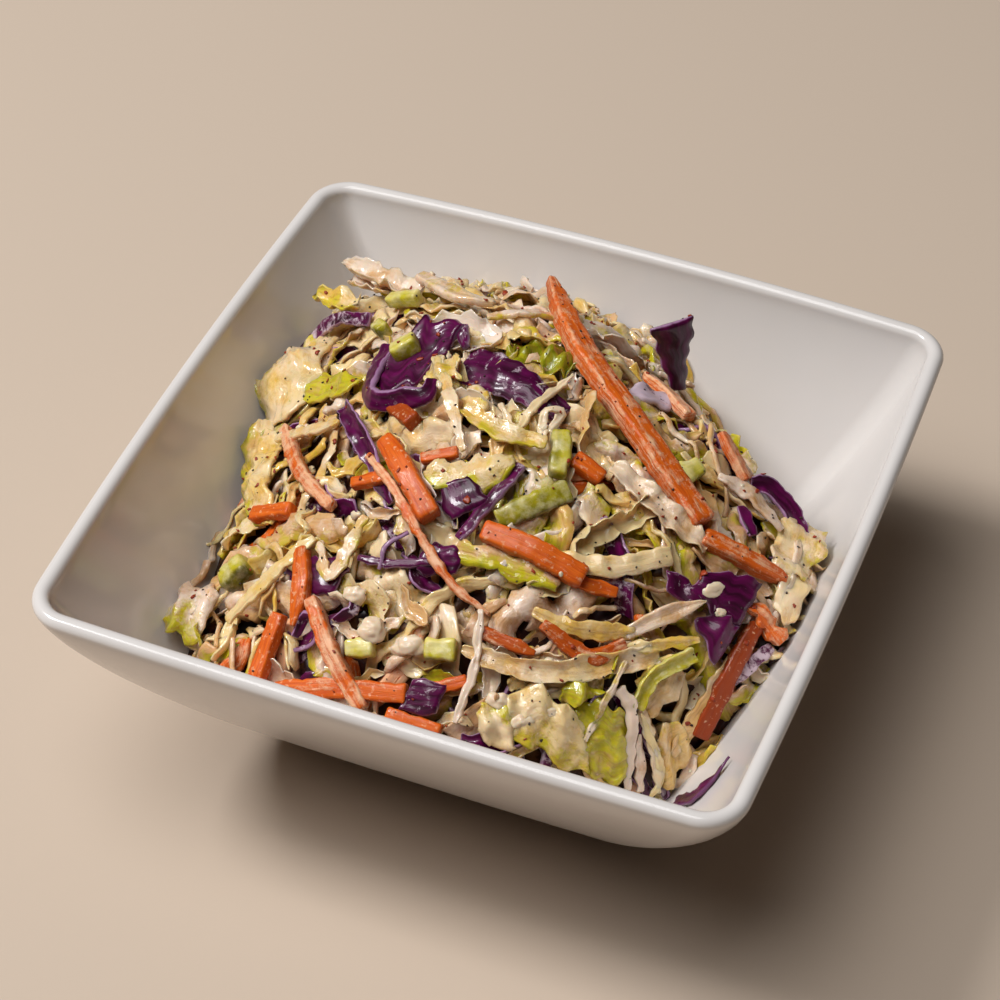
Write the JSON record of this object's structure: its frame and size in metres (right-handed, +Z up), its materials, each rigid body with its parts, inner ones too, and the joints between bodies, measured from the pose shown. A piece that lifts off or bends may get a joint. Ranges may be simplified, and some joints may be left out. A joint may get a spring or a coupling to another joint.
{
  "type": "bowl of coleslaw",
  "caption": "Heap of dressed coleslaw with shredded cabbage, red cabbage and carrot batons, in a square tapered white porcelain bowl.",
  "frame": {"origin": "on the table, under the middle of the bowl", "axes": "+Z up, +X along the front side of the bowl from left to right, +Y from the front side to the back side"},
  "size_m": [0.14, 0.14, 0.0732],
  "materials": {
    "porcelain": "white glazed porcelain",
    "cabbage": "pale cabbage shreds coated with creamy dressing",
    "carrot": "cut raw carrot, wet with dressing",
    "red_cabbage": "red cabbage leaf, waxy and wet",
    "green_leaf": "green cabbage leaf edge and spring onion, wet",
    "dressing": "creamy dressing, glossy",
    "spice": "dried chilli flakes and cracked pepper"
  },
  "bodies": {
    "root": {"bowl": "porcelain", "coleslaw": "cabbage", "red_cabbage_sliver": "red_cabbage"}
  },
  "joints": []
}
